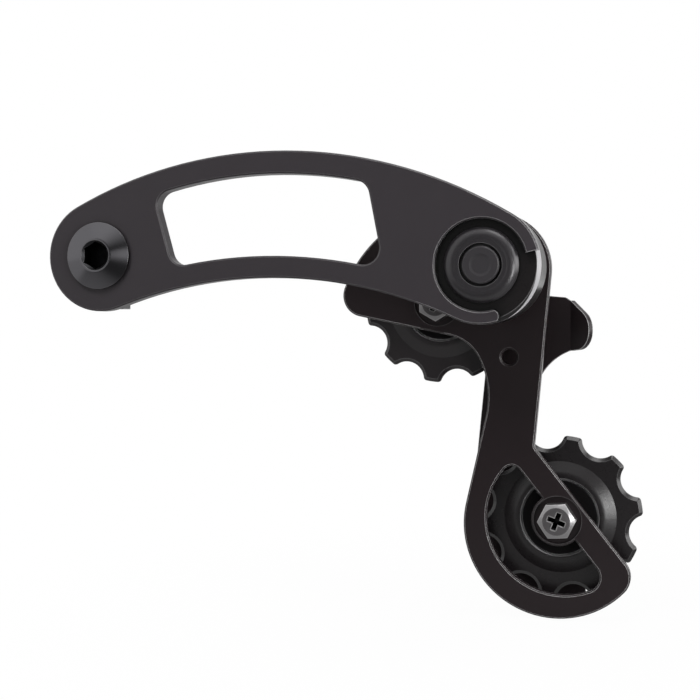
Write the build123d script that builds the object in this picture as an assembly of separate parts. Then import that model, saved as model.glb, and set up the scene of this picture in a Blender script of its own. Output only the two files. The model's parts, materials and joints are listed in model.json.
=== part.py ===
from build123d import *
import os
from math import acos, atan2, cos, degrees, radians, sin, sqrt

# Single-speed chain tensioner, in millimetres. X runs along the arm from the hanger bolt to the cage pivot,
# Y runs from the outer side of the bicycle towards the wheel, and Z is up. The origin is on the hanger bolt's
# axis, in the plane where the bolt's shoulder meets the frame's hanger.

# Places of the three cage axles, seen along Y
PIVOT_X = 93.6
PIVOT_Z = -3.4
GUIDE_DX = -14.0
GUIDE_DZ = -8.0
TENSION_DX = 15.2
TENSION_DZ = -60.1

# Fits and clearances
RUNNING_FIT = 0.05
SLIP_FIT = 0.03
BODY_GAP = 0.35
AXIAL_PLAY = 0.1

# Arm
ARM_T = 3.95
ARM_END_R = 13.5
TOP_ARC_R = 109.4
BOTTOM_ARC_R = 108.3
TOP_BAR = 5.4
BOTTOM_BAR = 5.15
WINDOW_LEFT_X = 15.9
WINDOW_RIGHT_X = 68.7
WINDOW_MID_Z = 8.5
WINDOW_LEFT_LEAN = 15.6
WINDOW_RIGHT_LEAN = 11.0
WINDOW_CORNER_R = 3.8
EDGE_CHAMFER = 0.35

# Pivot end of the arm: depths are measured from the arm's outer face
RECESS_R = 10.5
RECESS_D = 1.7
FLOOR_T = 2.65
FLANGE_D = 6.5
HOUSING_R = 13.2
HOUSING_BORE_R = 11.0
HOUSING_D = 15.2
FINGER_ANGLE = -77.0
STEP_ANGLE = 14.0
RIM_CHAMFER = 0.9

# Hanger bolt and what it carries
BOLT_HEAD_R = 8.1
BOLT_TOP_R = 4.1
BOLT_HEAD_H = 2.6
BOLT_LIP = 0.4
BOLT_SHOULDER_R = 5.7
BOLT_SOCKET_AF = 6.0
BOLT_SOCKET_D = 4.35
THREAD_R = 5.0
THREAD_L = 9.5
THREAD_CHAMFER = 0.8
STOP_T = 1.2
STOP_R = 9.5
STOP_LUG_LEFT = -3.5
STOP_LUG_RIGHT = 4.5
STOP_LUG_DROP = 12.9
STOP_LUG_HOOK = 2.8
CIRCLIP_T = 0.75
CIRCLIP_R = 7.2
CIRCLIP_GROOVE = 0.3
CIRCLIP_OPEN = 50.0
SHOULDER_TAIL = 0.3

# Pivot
AXLE_R = 4.3
AXLE_TIP_CHAMFER = 0.3
AXLE_DIMPLE_R = 2.0
AXLE_DIMPLE_D = 0.15
AXLE_DIMPLE_SLOPE = 0.6
AXLE_RIVET = 0.75
BUSH_SLEEVE_R = 6.3
BUSH_FLANGE_R = 8.6
BUSH_FLANGE_LIP = 0.5
BUSH_COLLAR_R = 5.9
BUSH_COUNTERBORE_R = 4.95
BUSH_COUNTERBORE_D = 1.4
BUSH_DOME = 0.35
COLLAR_SINK = 0.1
RETAINER_T = 0.55
RETAINER_WALL = 0.7
RETAINER_GROOVE = 0.45
RETAINER_OPEN = 60.0
CUP_R = 11.0
CUP_PILOT = 0.75
SPRING_WIRE_R = 0.8
SPRING_TURNS = 3.25
SPRING_COIL_R = 8.8
SPRING_LEG = 2.3
STOP_PIN_R = 1.9
STOP_PIN_REACH = 3.4
STOP_PIN_ANGLE = 150.0
STOP_LUG_T = 3.8

# Cage plates
CAGE_D = 21.5
OUTER_T = 2.4
PLATE_GAP = 9.4
INNER_T = 1.3
PLATE_CHAMFER = 0.35
CAGE_TOP_R = 13.6
NOSE_DX = -32.6
NOSE_DZ = -6.1
NOSE_R = 5.3
BACK_ARC_R = 30.9
NOSE_EDGE_ANGLE = -11.7
RIGHT_EDGE_LEAN = 5.4
WAIST_TOP = (-3.9, -21.3)
WAIST_MID = (-2.1, -35.5)
GUARD_DX = -0.5
GUARD_DZ = -1.5
GUARD_R = 22.2
GUARD_CORNER_R = 5.2
STRAP_ANGLE = -51.5
STRAP_EDGE = 6.4
STRAP_NOTCH_R = 1.4
OPENING_DX = 0.95
OPENING_DZ = 0.1
OPENING_R = 18.1
OPENING_EDGE = 0.3
OPENING_TOP_R = 2.4
OPENING_END_R = 3.65
EYE_R = 6.3
EYE_COUNTERBORE_R = 5.7
EYE_COUNTERBORE_D = 0.75
PLATE_HOLE_R = 1.9
PLATE_HOLE_CHAMFER = 0.4
PLATE_HOLE_DX = 3.55
PLATE_HOLE_DZ = -21.2

# Inner plate and its bent guard tab
INNER_BOSS_R = 8.1
INNER_BOSS_TOP = 75.0
INNER_BOSS_END = -50.0
INNER_WAIST = (-3.8, -22.8)
INNER_STRAP_EDGE = 4.25
INNER_GUARD_END = 5.7
INNER_CORNER_R = 3.3
TAB_BEND_X = 17.1
TAB_LEFT = (9.5, -6.0)
TAB_TOP = -6.6
TAB_H = 13.2
TAB_ROOT = (9.6, -26.5)
TAB_ROOT_MID = (13.0, -22.2)
TAB_FLAP_L = 6.8
TAB_BEND_ANGLE = 45.0
TAB_SHOULDER = 1.2
TAB_DROP = 0.8
TAB_SLOPE = 4.6
TAB_RISE = 0.7
TAB_TOP_R = 4.8
TAB_END_R = 4.6

# Pulleys
TEETH = 10
CHAIN_PITCH = 12.7
ROLLER_R = 3.9
TIP_R = 19.7
VALLEY_R = 4.4
TOOTH_T = 2.2
TOOTH_CHAMFER = 0.8
TIP_ROUND = 0.9
RING_FOOT_R = 13.8
RING_CREST_R = 10.5
RING_BORE_R = 9.3
RING_T = 4.55
RING_SINK = 0.1
CREST_ROUND = 3.5
BORE_ROUND = 0.5
HUB_R = 4.95
HUB_T = 5.7
GUIDE_PHASE = 10.2
TENSION_PHASE = 9.0

# Pulley screws, bushes and dust caps
SCREW_R = 2.5
SCREW_TAIL = 0.85
SCREW_AF = 8.0
SCREW_HEAD_H = 3.8
SCREW_TOP_R = 3.5
SCREW_BEVEL = 0.7
CROSS_L = 4.2
CROSS_W = 0.95
CROSS_D = 1.5
GUIDE_HEX_TURN = 30.0
TENSION_HEX_TURN = 3.6
CROSS_TURN = 70.0
SLEEVE_R = 3.4
SLEEVE_SIDE_PLAY = 0.2
CAP_HUB_R = HUB_R + BODY_GAP
CAP_SKIRT_T = 0.55

# Derived places
HANGER = Vector(0, 0)
PIVOT = Vector(PIVOT_X, PIVOT_Z)
GUIDE = PIVOT + Vector(GUIDE_DX, GUIDE_DZ)
TENSION = PIVOT + Vector(TENSION_DX, TENSION_DZ)
GUARD = TENSION + Vector(GUARD_DX, GUARD_DZ)
CIRCLIP_Y = -SHOULDER_TAIL - CIRCLIP_T
STOP_Y = CIRCLIP_Y - AXIAL_PLAY - STOP_T
ARM_BACK_Y = STOP_Y - AXIAL_PLAY
ARM_FRONT_Y = ARM_BACK_Y - ARM_T
FLOOR_Y = ARM_FRONT_Y + RECESS_D
CAVITY_Y = FLOOR_Y + FLOOR_T
HOUSING_END_Y = ARM_FRONT_Y + HOUSING_D
OUTER_Y = ARM_FRONT_Y + CAGE_D
OUTER_BACK_Y = OUTER_Y + OUTER_T
MID_Y = OUTER_BACK_Y + PLATE_GAP / 2
INNER_Y = OUTER_BACK_Y + PLATE_GAP
INNER_BACK_Y = INNER_Y + INNER_T
CUP_Y = HOUSING_END_Y + BODY_GAP
SPRING_START_Y = CAVITY_Y + SPRING_WIRE_R + AXIAL_PLAY
SPRING_L = CUP_Y - CUP_PILOT - CAVITY_Y - 2 * (SPRING_WIRE_R + AXIAL_PLAY)
SPRING_PITCH = SPRING_L / SPRING_TURNS
STOP_ORBIT_R = HOUSING_R + BODY_GAP + STOP_PIN_R
STOP_DIR = Vector(cos(radians(STOP_PIN_ANGLE)), sin(radians(STOP_PIN_ANGLE)))
STOP_PLACE = PIVOT + STOP_DIR * STOP_ORBIT_R
STRAP_DIR = Vector(cos(radians(STRAP_ANGLE)), sin(radians(STRAP_ANGLE)))
STRAP_NORMAL = Vector(-STRAP_DIR.Y, STRAP_DIR.X)
SCREW_HOLE_R = SCREW_R + SLIP_FIT
SLEEVE_T = HUB_T + 2 * SLEEVE_SIDE_PLAY
FAR = 4 * TOP_ARC_R


def polar(radius, angle):
    """Point at a radius and an angle in degrees."""
    return Vector(radius * cos(radians(angle)), radius * sin(radians(angle)))


def toward(start, end, length):
    """Point at a length from start, in the direction of end."""
    return start + (end - start).normalized() * length


def circles_meet(a, ra, b, rb):
    """The lower of the two points at ra from a and rb from b."""
    gap = (b - a).length
    along = (gap**2 + ra**2 - rb**2) / (2 * gap)
    across = sqrt(ra**2 - along**2)
    unit = (b - a) / gap
    side = Vector(-unit.Y, unit.X) * across
    points = [a + unit * along + side, a + unit * along - side]
    return min(points, key=lambda p: p.Y)


def lines_meet(p, d, q, e):
    """Point where the line through p along d meets the line through q along e."""
    cross = d.X * e.Y - d.Y * e.X
    step = ((q.X - p.X) * e.Y - (q.Y - p.Y) * e.X) / cross
    return p + d * step


def left_tangent(point, centre, radius):
    """Place where the left-hand tangent from a point above touches a circle."""
    away = point - centre
    turn = degrees(atan2(away.Y, away.X)) + degrees(acos(radius / away.length))
    return centre + polar(radius, turn)


def nearest_corner(sketch, point):
    """The sketch's vertex nearest to a point."""
    return sketch.vertices().sort_by_distance((point.X, point.Y, 0))[0]


def spot(point):
    """Location of a point of the X-Z view on a sketch."""
    return Pos(point.X, point.Y)


def below_line(point, angle):
    """Sketch of everything on the right of a line, looking along its angle."""
    return spot(point) * Rot(0, 0, angle) * Pos(0, -FAR / 2) * Rectangle(2 * FAR, FAR)


def sheet(sketch, y, thickness):
    """Extrudes a sketch of the X-Z view from y towards +Y."""
    plane = Plane((0, y, 0), x_dir=(1, 0, 0), z_dir=(0, -1, 0))
    return extrude(plane * sketch, -thickness)


def disc(point, y, radius, thickness):
    """Cylinder along Y around a point of the X-Z view."""
    return sheet(spot(point) * Circle(radius), y, thickness)


def turned(point, profile):
    """Turned piece around a Y axis through a point, from a list of (radius, y)."""
    face = make_face(Polyline(*profile, close=True))
    return Pos(point.X, 0, point.Y) * revolve(face, Axis.Y)


def edges_at(part, y):
    """Edges of a part that lie in the plane of a given y."""
    near = EDGE_CHAMFER / 10
    boxes = [(edge, edge.bounding_box()) for edge in part.edges()]
    return [edge for edge, box in boxes if abs(box.min.Y - y) < near and abs(box.max.Y - y) < near]


def snap_ring(point, y, thickness, inner_r, outer_r, opening):
    """Flat open ring, with its opening upwards."""
    gap = Pos(0, outer_r) * Rectangle(2 * outer_r * sin(radians(opening / 2)), 2 * outer_r)
    return sheet(spot(point) * (Circle(outer_r) - Circle(inner_r) - gap), y, thickness)


def arm_arc_centres():
    """Centres of the arm's two long arcs, which are tangent to both round ends."""
    top = circles_meet(HANGER, TOP_ARC_R - ARM_END_R, PIVOT, TOP_ARC_R - ARM_END_R)
    bottom = circles_meet(HANGER, BOTTOM_ARC_R + ARM_END_R, PIVOT, BOTTOM_ARC_R + ARM_END_R)
    return top, bottom


def arm_outline():
    """Arched bar between two round ends."""
    top, bottom = arm_arc_centres()
    middle = (HANGER + PIVOT) / 2
    out = (PIVOT - HANGER).normalized() * ARM_END_R
    top_left = toward(top, HANGER, TOP_ARC_R)
    top_right = toward(top, PIVOT, TOP_ARC_R)
    low_left = toward(bottom, HANGER, BOTTOM_ARC_R)
    low_right = toward(bottom, PIVOT, BOTTOM_ARC_R)
    edges = [
        ThreePointArc(low_left, HANGER - out, top_left),
        ThreePointArc(top_left, toward(top, middle, TOP_ARC_R), top_right),
        ThreePointArc(top_right, PIVOT + out, low_right),
        ThreePointArc(low_right, toward(bottom, middle, BOTTOM_ARC_R), low_left),
    ]
    return make_face(edges)


def window_side(x, lean):
    """Low and high end of a side of the window that leans towards the hanger bolt."""
    reach = 2 * ARM_END_R
    shift = reach * sin(radians(lean)) / cos(radians(lean))
    return [Vector(x + shift, WINDOW_MID_Z - reach), Vector(x - shift, WINDOW_MID_Z + reach)]


def arm_window():
    """Window that leaves a bar of even width above and below it."""
    top, bottom = arm_arc_centres()
    left = window_side(WINDOW_LEFT_X, WINDOW_LEFT_LEAN)
    right = window_side(WINDOW_RIGHT_X, WINDOW_RIGHT_LEAN)
    span = make_face(Polyline(*left, *reversed(right), close=True))
    window = span & (spot(top) * Circle(TOP_ARC_R - TOP_BAR))
    window -= spot(bottom) * Circle(BOTTOM_ARC_R + BOTTOM_BAR)
    return fillet(window.vertices(), WINDOW_CORNER_R)


def open_sector():
    """The part of the rim around the recess that is cut away, with a round end on the finger."""
    rim_mid = (RECESS_R + ARM_END_R) / 2
    rim_half = (ARM_END_R - RECESS_R) / 2
    reach = 2 * ARM_END_R
    angles = [FINGER_ANGLE, (FINGER_ANGLE + STEP_ANGLE) / 2, STEP_ANGLE]
    wedge = make_face(Polyline(Vector(0, 0), *[polar(reach, angle) for angle in angles], close=True))
    return spot(PIVOT) * (wedge - spot(polar(rim_mid, FINGER_ANGLE)) * Circle(rim_half))


def rim_cut():
    """Broken edge of the recess's floor, where the rim is cut away."""
    inner = ARM_END_R - RIM_CHAMFER
    outer = ARM_END_R + RIM_CHAMFER
    bevel = [(inner, FLOOR_Y), (outer, FLOOR_Y + outer - inner), (outer, FLOOR_Y)]
    return turned(PIVOT, bevel) & sheet(open_sector(), FLOOR_Y, outer - inner)


def housing_lug():
    """Lug on the housing that the cage's stop pin meets at rest."""
    inner = (HOUSING_R + HOUSING_BORE_R) / 2
    outer = STOP_ORBIT_R + STOP_PIN_R / 2
    drop = STOP_PIN_R + BODY_GAP + STOP_LUG_T / 2
    lug = Pos((inner + outer) / 2, -drop) * Rectangle(outer - inner, STOP_LUG_T)
    y = HOUSING_END_Y - STOP_PIN_REACH
    return sheet(spot(PIVOT) * Rot(0, 0, STOP_PIN_ANGLE) * lug, y, STOP_PIN_REACH)


def spring_path():
    """Middle line of the coil's wire."""
    path = Helix(SPRING_PITCH, SPRING_L, SPRING_COIL_R, direction=(0, 1, 0))
    return Pos(PIVOT.X, SPRING_START_Y, PIVOT.Y) * path


def leg_place(end):
    """Place of a leg of the spring in the X-Z view, at end 0 or 1 of the coil."""
    point = spring_path() @ end
    return Vector(point.X, point.Z)


def make_arm():
    arm = sheet(arm_outline() - arm_window(), ARM_FRONT_Y, ARM_T)
    arm -= disc(PIVOT, ARM_FRONT_Y, RECESS_R, RECESS_D)
    arm = chamfer(edges_at(arm, ARM_FRONT_Y) + edges_at(arm, ARM_BACK_Y), EDGE_CHAMFER)
    arm += disc(PIVOT, FLOOR_Y, ARM_END_R, FLANGE_D - RECESS_D)
    arm += disc(PIVOT, FLOOR_Y, HOUSING_R, HOUSING_D - RECESS_D)
    arm += housing_lug()
    arm -= sheet(open_sector(), ARM_FRONT_Y, RECESS_D)
    arm -= rim_cut()
    arm -= disc(PIVOT, CAVITY_Y, HOUSING_BORE_R, HOUSING_D)
    arm -= disc(PIVOT, FLOOR_Y, BUSH_SLEEVE_R + SLIP_FIT, HOUSING_D)
    arm -= disc(HANGER, ARM_FRONT_Y, BOLT_SHOULDER_R + RUNNING_FIT, ARM_T)
    arm -= disc(leg_place(0), CAVITY_Y - SPRING_LEG, SPRING_WIRE_R + BODY_GAP, SPRING_LEG)
    return arm


def make_hanger_bolt():
    head_y = ARM_FRONT_Y - BOLT_HEAD_H
    groove_r = BOLT_SHOULDER_R - CIRCLIP_GROOVE
    profile = [
        (0, head_y),
        (BOLT_TOP_R, head_y),
        (BOLT_HEAD_R, ARM_FRONT_Y - BOLT_LIP),
        (BOLT_HEAD_R, ARM_FRONT_Y),
        (BOLT_SHOULDER_R, ARM_FRONT_Y),
        (BOLT_SHOULDER_R, CIRCLIP_Y),
        (groove_r, CIRCLIP_Y),
        (groove_r, -SHOULDER_TAIL),
        (BOLT_SHOULDER_R, -SHOULDER_TAIL),
        (BOLT_SHOULDER_R, 0),
        (THREAD_R, 0),
        (THREAD_R, THREAD_L - THREAD_CHAMFER),
        (THREAD_R - THREAD_CHAMFER, THREAD_L),
        (0, THREAD_L),
    ]
    socket = RegularPolygon(BOLT_SOCKET_AF / 2, 6, major_radius=False, rotation=90)
    return turned(HANGER, profile) - sheet(socket, head_y, BOLT_SOCKET_D)


def make_stop_washer():
    """Washer with a lug whose end is bent back to meet the frame's hanger."""
    width = STOP_LUG_RIGHT - STOP_LUG_LEFT
    middle = (STOP_LUG_RIGHT + STOP_LUG_LEFT) / 2
    lug = Pos(middle, -STOP_LUG_DROP / 2) * Rectangle(width, STOP_LUG_DROP)
    hook = Pos(middle, STOP_T / 2 - STOP_LUG_DROP) * Rectangle(width, STOP_T)
    washer = sheet(Circle(STOP_R) + lug, STOP_Y, STOP_T)
    washer += sheet(hook, STOP_Y, STOP_T + STOP_LUG_HOOK)
    return washer - disc(HANGER, STOP_Y, BOLT_SHOULDER_R + RUNNING_FIT, STOP_T)


def make_hanger_circlip():
    inner = BOLT_SHOULDER_R - CIRCLIP_GROOVE + SLIP_FIT
    return snap_ring(HANGER, CIRCLIP_Y, CIRCLIP_T, inner, CIRCLIP_R, CIRCLIP_OPEN)


def make_pivot_bush():
    """Flanged bush with a domed collar, whose sleeve runs through the housing."""
    top = ARM_FRONT_Y + COLLAR_SINK
    lip = FLOOR_Y - BUSH_FLANGE_LIP
    end = CUP_Y - CUP_PILOT - BODY_GAP
    shoulder = ARM_FRONT_Y + BUSH_COUNTERBORE_D
    bore = AXLE_R + RUNNING_FIT
    dome = ((BUSH_FLANGE_R + BUSH_COLLAR_R) / 2 + BUSH_DOME, (lip + top) / 2 - BUSH_DOME)
    profile = [
        (BUSH_COLLAR_R, top),
        (BUSH_COUNTERBORE_R, top),
        (BUSH_COUNTERBORE_R, shoulder),
        (bore, shoulder),
        (bore, end),
        (BUSH_SLEEVE_R, end),
        (BUSH_SLEEVE_R, FLOOR_Y),
        (BUSH_FLANGE_R, FLOOR_Y),
        (BUSH_FLANGE_R, lip),
    ]
    edges = [Polyline(*profile), ThreePointArc((BUSH_FLANGE_R, lip), dome, (BUSH_COLLAR_R, top))]
    return Pos(PIVOT.X, 0, PIVOT.Y) * revolve(make_face(edges), Axis.Y)


def make_pivot_axle():
    front = ARM_FRONT_Y
    groove_r = AXLE_R - RETAINER_GROOVE
    groove_end = ARM_FRONT_Y + BUSH_COUNTERBORE_D - AXIAL_PLAY
    groove_start = groove_end - RETAINER_T
    profile = [
        (0, front + AXLE_DIMPLE_D),
        (AXLE_DIMPLE_R, front + AXLE_DIMPLE_D),
        (AXLE_DIMPLE_R + AXLE_DIMPLE_SLOPE, front),
        (AXLE_R - AXLE_TIP_CHAMFER, front),
        (AXLE_R, front + AXLE_TIP_CHAMFER),
        (AXLE_R, groove_start),
        (groove_r, groove_start),
        (groove_r, groove_end),
        (AXLE_R, groove_end),
        (AXLE_R, OUTER_BACK_Y - AXLE_RIVET),
        (AXLE_R + AXLE_RIVET, OUTER_BACK_Y),
        (0, OUTER_BACK_Y),
    ]
    return turned(PIVOT, profile)


def make_retaining_clip():
    y = ARM_FRONT_Y + BUSH_COUNTERBORE_D - AXIAL_PLAY - RETAINER_T
    inner = AXLE_R - RETAINER_GROOVE + SLIP_FIT
    return snap_ring(PIVOT, y, RETAINER_T, inner, inner + RETAINER_WALL, RETAINER_OPEN)


def make_torsion_spring():
    """Coil with a leg along the axis at each end."""
    path = spring_path()
    front_y = CAVITY_Y - SPRING_LEG / 2
    end_y = SPRING_START_Y + SPRING_L
    spring = sweep(Plane(path @ 0, z_dir=path % 0) * Circle(SPRING_WIRE_R), path, is_frenet=True)
    spring += disc(leg_place(0), front_y, SPRING_WIRE_R, SPRING_START_Y - front_y)
    return spring + disc(leg_place(1), end_y, SPRING_WIRE_R, SPRING_WIRE_R + SPRING_LEG)


def make_spring_cup():
    """Boss on the cage that closes the housing and holds the spring's rear leg."""
    pilot_r = HOUSING_BORE_R - BODY_GAP
    bore = AXLE_R + SLIP_FIT
    front = CUP_Y - CUP_PILOT
    profile = [
        (bore, front),
        (pilot_r, front),
        (pilot_r, CUP_Y),
        (CUP_R, CUP_Y),
        (CUP_R, OUTER_Y),
        (bore, OUTER_Y),
    ]
    return turned(PIVOT, profile) - disc(leg_place(1), front, SPRING_WIRE_R + BODY_GAP, 2 * SPRING_LEG)


def make_stop_pin():
    start = HOUSING_END_Y - STOP_PIN_REACH
    return disc(STOP_PLACE, start, STOP_PIN_R, OUTER_BACK_Y - start)


def guard_corner():
    """Centre of the guard's corner round, which touches the guard circle and the strap's edge."""
    line = TENSION + STRAP_NORMAL * (STRAP_EDGE - GUARD_CORNER_R)
    foot = line + STRAP_DIR * (GUARD - line).dot(STRAP_DIR)
    across = (GUARD - foot).length
    return foot + STRAP_DIR * sqrt((GUARD_R - GUARD_CORNER_R) ** 2 - across**2)


def outer_outline():
    """Near plate: nose, pivot round, straight edge, strap, guard and waist, in one chain."""
    nose = PIVOT + Vector(NOSE_DX, NOSE_DZ)
    back = circles_meet(PIVOT, BACK_ARC_R - CAGE_TOP_R, nose, BACK_ARC_R - NOSE_R)
    nose_dir = polar(1, NOSE_EDGE_ANGLE)
    nose_low = nose + polar(NOSE_R, NOSE_EDGE_ANGLE - 90)
    nose_high = toward(back, nose, BACK_ARC_R)
    top = toward(back, PIVOT, BACK_ARC_R)
    edge_top = PIVOT + polar(CAGE_TOP_R, -RIGHT_EDGE_LEAN)
    strap_point = TENSION + STRAP_NORMAL * STRAP_EDGE
    notch = lines_meet(strap_point, STRAP_DIR, edge_top, polar(1, 90 - RIGHT_EDGE_LEAN))
    corner = guard_corner()
    strap_end = corner + STRAP_NORMAL * GUARD_CORNER_R
    guard_start = toward(GUARD, corner, GUARD_R)
    waist_mid = PIVOT + Vector(*WAIST_MID)
    side = left_tangent(waist_mid, GUARD, GUARD_R)
    waist = TangentArc(waist_mid, PIVOT + Vector(*WAIST_TOP), tangent=waist_mid - side)
    waist_top = waist @ 1
    knee = lines_meet(nose_low, nose_dir, waist_top, waist % 1)
    nose_end = knee - nose_dir * (knee - waist_top).length
    edges = [
        ThreePointArc(nose_low, nose + polar(NOSE_R, 200), nose_high),
        ThreePointArc(nose_high, toward(back, (nose_high + top) / 2, BACK_ARC_R), top),
        ThreePointArc(top, PIVOT + polar(CAGE_TOP_R, 30), edge_top),
        Line(edge_top, notch),
        Line(notch, strap_end),
        ThreePointArc(strap_end, corner + polar(GUARD_CORNER_R, 0), guard_start),
        ThreePointArc(guard_start, GUARD + polar(GUARD_R, -120), side),
        Line(side, waist_mid),
        waist,
        TangentArc(nose_end, waist_top, tangent=nose_dir),
        Line(nose_end, nose_low),
    ]
    outline = make_face(edges)
    return fillet(nearest_corner(outline, notch), STRAP_NOTCH_R)


def outer_opening():
    """D-shaped opening under the strap, with a round eye left around the tension screw."""
    centre = TENSION + Vector(OPENING_DX, OPENING_DZ)
    edge = TENSION + STRAP_NORMAL * OPENING_EDGE
    opening = (spot(centre) * Circle(OPENING_R)) & below_line(edge, STRAP_ANGLE)
    opening = fillet(opening.vertices().sort_by(Axis.Y)[-1], OPENING_TOP_R)
    opening = fillet(opening.vertices().sort_by(Axis.Y)[0], OPENING_END_R)
    return opening - spot(TENSION) * Circle(EYE_R)


def make_cage_outer_plate():
    plate = sheet(outer_outline() - outer_opening(), OUTER_Y, OUTER_T)
    plate = chamfer(edges_at(plate, OUTER_Y) + edges_at(plate, OUTER_BACK_Y), PLATE_CHAMFER)
    for axle in (GUIDE, TENSION):
        plate -= disc(axle, OUTER_Y, EYE_COUNTERBORE_R, EYE_COUNTERBORE_D)
        plate -= disc(axle, OUTER_Y, SCREW_HOLE_R, OUTER_T)
    hole = [
        (0, OUTER_Y),
        (PLATE_HOLE_R + PLATE_HOLE_CHAMFER, OUTER_Y),
        (PLATE_HOLE_R, OUTER_Y + PLATE_HOLE_CHAMFER),
        (PLATE_HOLE_R, OUTER_BACK_Y - PLATE_HOLE_CHAMFER),
        (PLATE_HOLE_R + PLATE_HOLE_CHAMFER, OUTER_BACK_Y),
        (0, OUTER_BACK_Y),
    ]
    plate -= turned(PIVOT + Vector(PLATE_HOLE_DX, PLATE_HOLE_DZ), hole)
    plate -= disc(STOP_PLACE, OUTER_Y, STOP_PIN_R + SLIP_FIT, OUTER_T)
    bore = AXLE_R + SLIP_FIT
    rivet = [
        (0, OUTER_Y),
        (bore, OUTER_Y),
        (bore, OUTER_BACK_Y - AXLE_RIVET),
        (bore + AXLE_RIVET, OUTER_BACK_Y),
        (0, OUTER_BACK_Y),
    ]
    return plate - turned(PIVOT, rivet)


def inner_outline():
    """Far plate, flat part: boss, tab root, stem and a solid guard that ends under the tension pulley."""
    boss_top = GUIDE + polar(INNER_BOSS_R, INNER_BOSS_TOP)
    boss_end = GUIDE + polar(INNER_BOSS_R, INNER_BOSS_END)
    tab_top = PIVOT + Vector(TAB_BEND_X - TAB_SHOULDER, TAB_TOP)
    tab_side = tab_top + Vector(TAB_SHOULDER, -TAB_DROP)
    tab_end = PIVOT + Vector(TAB_BEND_X, TAB_TOP - TAB_H)
    root = PIVOT + Vector(*TAB_ROOT)
    strap = TENSION + STRAP_NORMAL * INNER_STRAP_EDGE
    down = Vector(0, -1)
    notch = lines_meet(strap, STRAP_DIR, root, polar(1, 90 - RIGHT_EDGE_LEAN))
    end_top = lines_meet(strap, STRAP_DIR, TENSION + Vector(INNER_GUARD_END, 0), down)
    across = end_top.X - GUARD.X
    end_low = GUARD + Vector(across, -sqrt(GUARD_R**2 - across**2))
    waist = PIVOT + Vector(*INNER_WAIST)
    side = left_tangent(waist, GUARD, GUARD_R)
    edges = [
        ThreePointArc(boss_end, GUIDE - polar(INNER_BOSS_R, 0), boss_top),
        Polyline(boss_top, PIVOT + Vector(*TAB_LEFT), tab_top, tab_side, tab_end),
        ThreePointArc(tab_end, PIVOT + Vector(*TAB_ROOT_MID), root),
        Polyline(root, notch, end_top, end_low),
        ThreePointArc(end_low, GUARD + polar(GUARD_R, -120), side),
        Polyline(side, waist, boss_end),
    ]
    outline = make_face(edges)
    for corner in (end_top, end_low, notch, waist):
        outline = fillet(nearest_corner(outline, corner), INNER_CORNER_R)
    return outline


def guard_tab():
    """Bend and flap of the far plate, which stands towards the chain."""
    bend_x = PIVOT.X + TAB_BEND_X
    high = PIVOT.Y + TAB_TOP - TAB_DROP
    low = PIVOT.Y + TAB_TOP - TAB_H
    corners = [(bend_x, INNER_Y, low), (bend_x, INNER_BACK_Y, low), (bend_x, INNER_BACK_Y, high)]
    section = make_face(Polyline(*corners, (bend_x, INNER_Y, high), close=True))
    bend = revolve(section, Axis((bend_x, INNER_Y, 0), (0, 0, -1)), TAB_BEND_ANGLE)
    c = cos(radians(TAB_BEND_ANGLE))
    s = sin(radians(TAB_BEND_ANGLE))
    plane = Plane((bend_x, INNER_Y, 0), x_dir=(c, -s, 0), z_dir=(-s, -c, 0))
    tip = Vector(TAB_FLAP_L, high - TAB_SLOPE)
    heel = Vector(TAB_FLAP_L, low + TAB_RISE)
    flap = make_face(Polyline((0, low), heel, tip, (0, high), close=True))
    flap = fillet(nearest_corner(flap, tip), TAB_TOP_R)
    flap = fillet(nearest_corner(flap, heel), TAB_END_R)
    return bend + extrude(plane * flap, -INNER_T)


def make_cage_inner_plate():
    plate = sheet(inner_outline(), INNER_Y, INNER_T) + guard_tab()
    for axle in (GUIDE, TENSION):
        plate -= disc(axle, INNER_Y, SCREW_HOLE_R, INNER_T)
    return plate


def tooth_outline():
    """Round blank with an arc cut between each two teeth, where the chain's rollers sit."""
    pitch_r = CHAIN_PITCH / (2 * sin(radians(180 / TEETH)))
    outline = Circle(TIP_R)
    for tooth in range(TEETH):
        valley = Pos(pitch_r - ROLLER_R + VALLEY_R, 0) * Circle(VALLEY_R)
        outline -= Rot(0, 0, 360 / TEETH * (tooth + 0.5)) * valley
    return fillet(outline.vertices(), TIP_ROUND)


def ring_section():
    """Section of the raised ring, which slopes down to the toothed disc on both sides."""
    high = RING_T / 2
    foot = TOOTH_T / 2 - RING_SINK
    half = [(RING_BORE_R, high), (RING_CREST_R, high), (RING_FOOT_R, foot)]
    section = make_face(Polyline(*half, *[(r, -y) for r, y in reversed(half)], close=True))
    for side in (high, -high):
        section = fillet(nearest_corner(section, Vector(RING_CREST_R, side)), CREST_ROUND)
        section = fillet(nearest_corner(section, Vector(RING_BORE_R, side)), BORE_ROUND)
    return section


def make_pulley(axle, phase):
    wheel = sheet(Rot(0, 0, phase) * tooth_outline(), -TOOTH_T / 2, TOOTH_T)
    wheel = chamfer(edges_at(wheel, -TOOTH_T / 2) + edges_at(wheel, TOOTH_T / 2), TOOTH_CHAMFER)
    wheel += revolve(ring_section(), Axis.Y)
    wheel += disc(HANGER, -HUB_T / 2, HUB_R, HUB_T)
    wheel -= disc(HANGER, -HUB_T / 2, SLEEVE_R + RUNNING_FIT, HUB_T)
    return Pos(axle.X, MID_Y, axle.Y) * wheel


def make_bush(axle):
    tube = disc(axle, MID_Y - SLEEVE_T / 2, SLEEVE_R, SLEEVE_T)
    return tube - disc(axle, MID_Y - SLEEVE_T / 2, SCREW_HOLE_R, SLEEVE_T)


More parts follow.
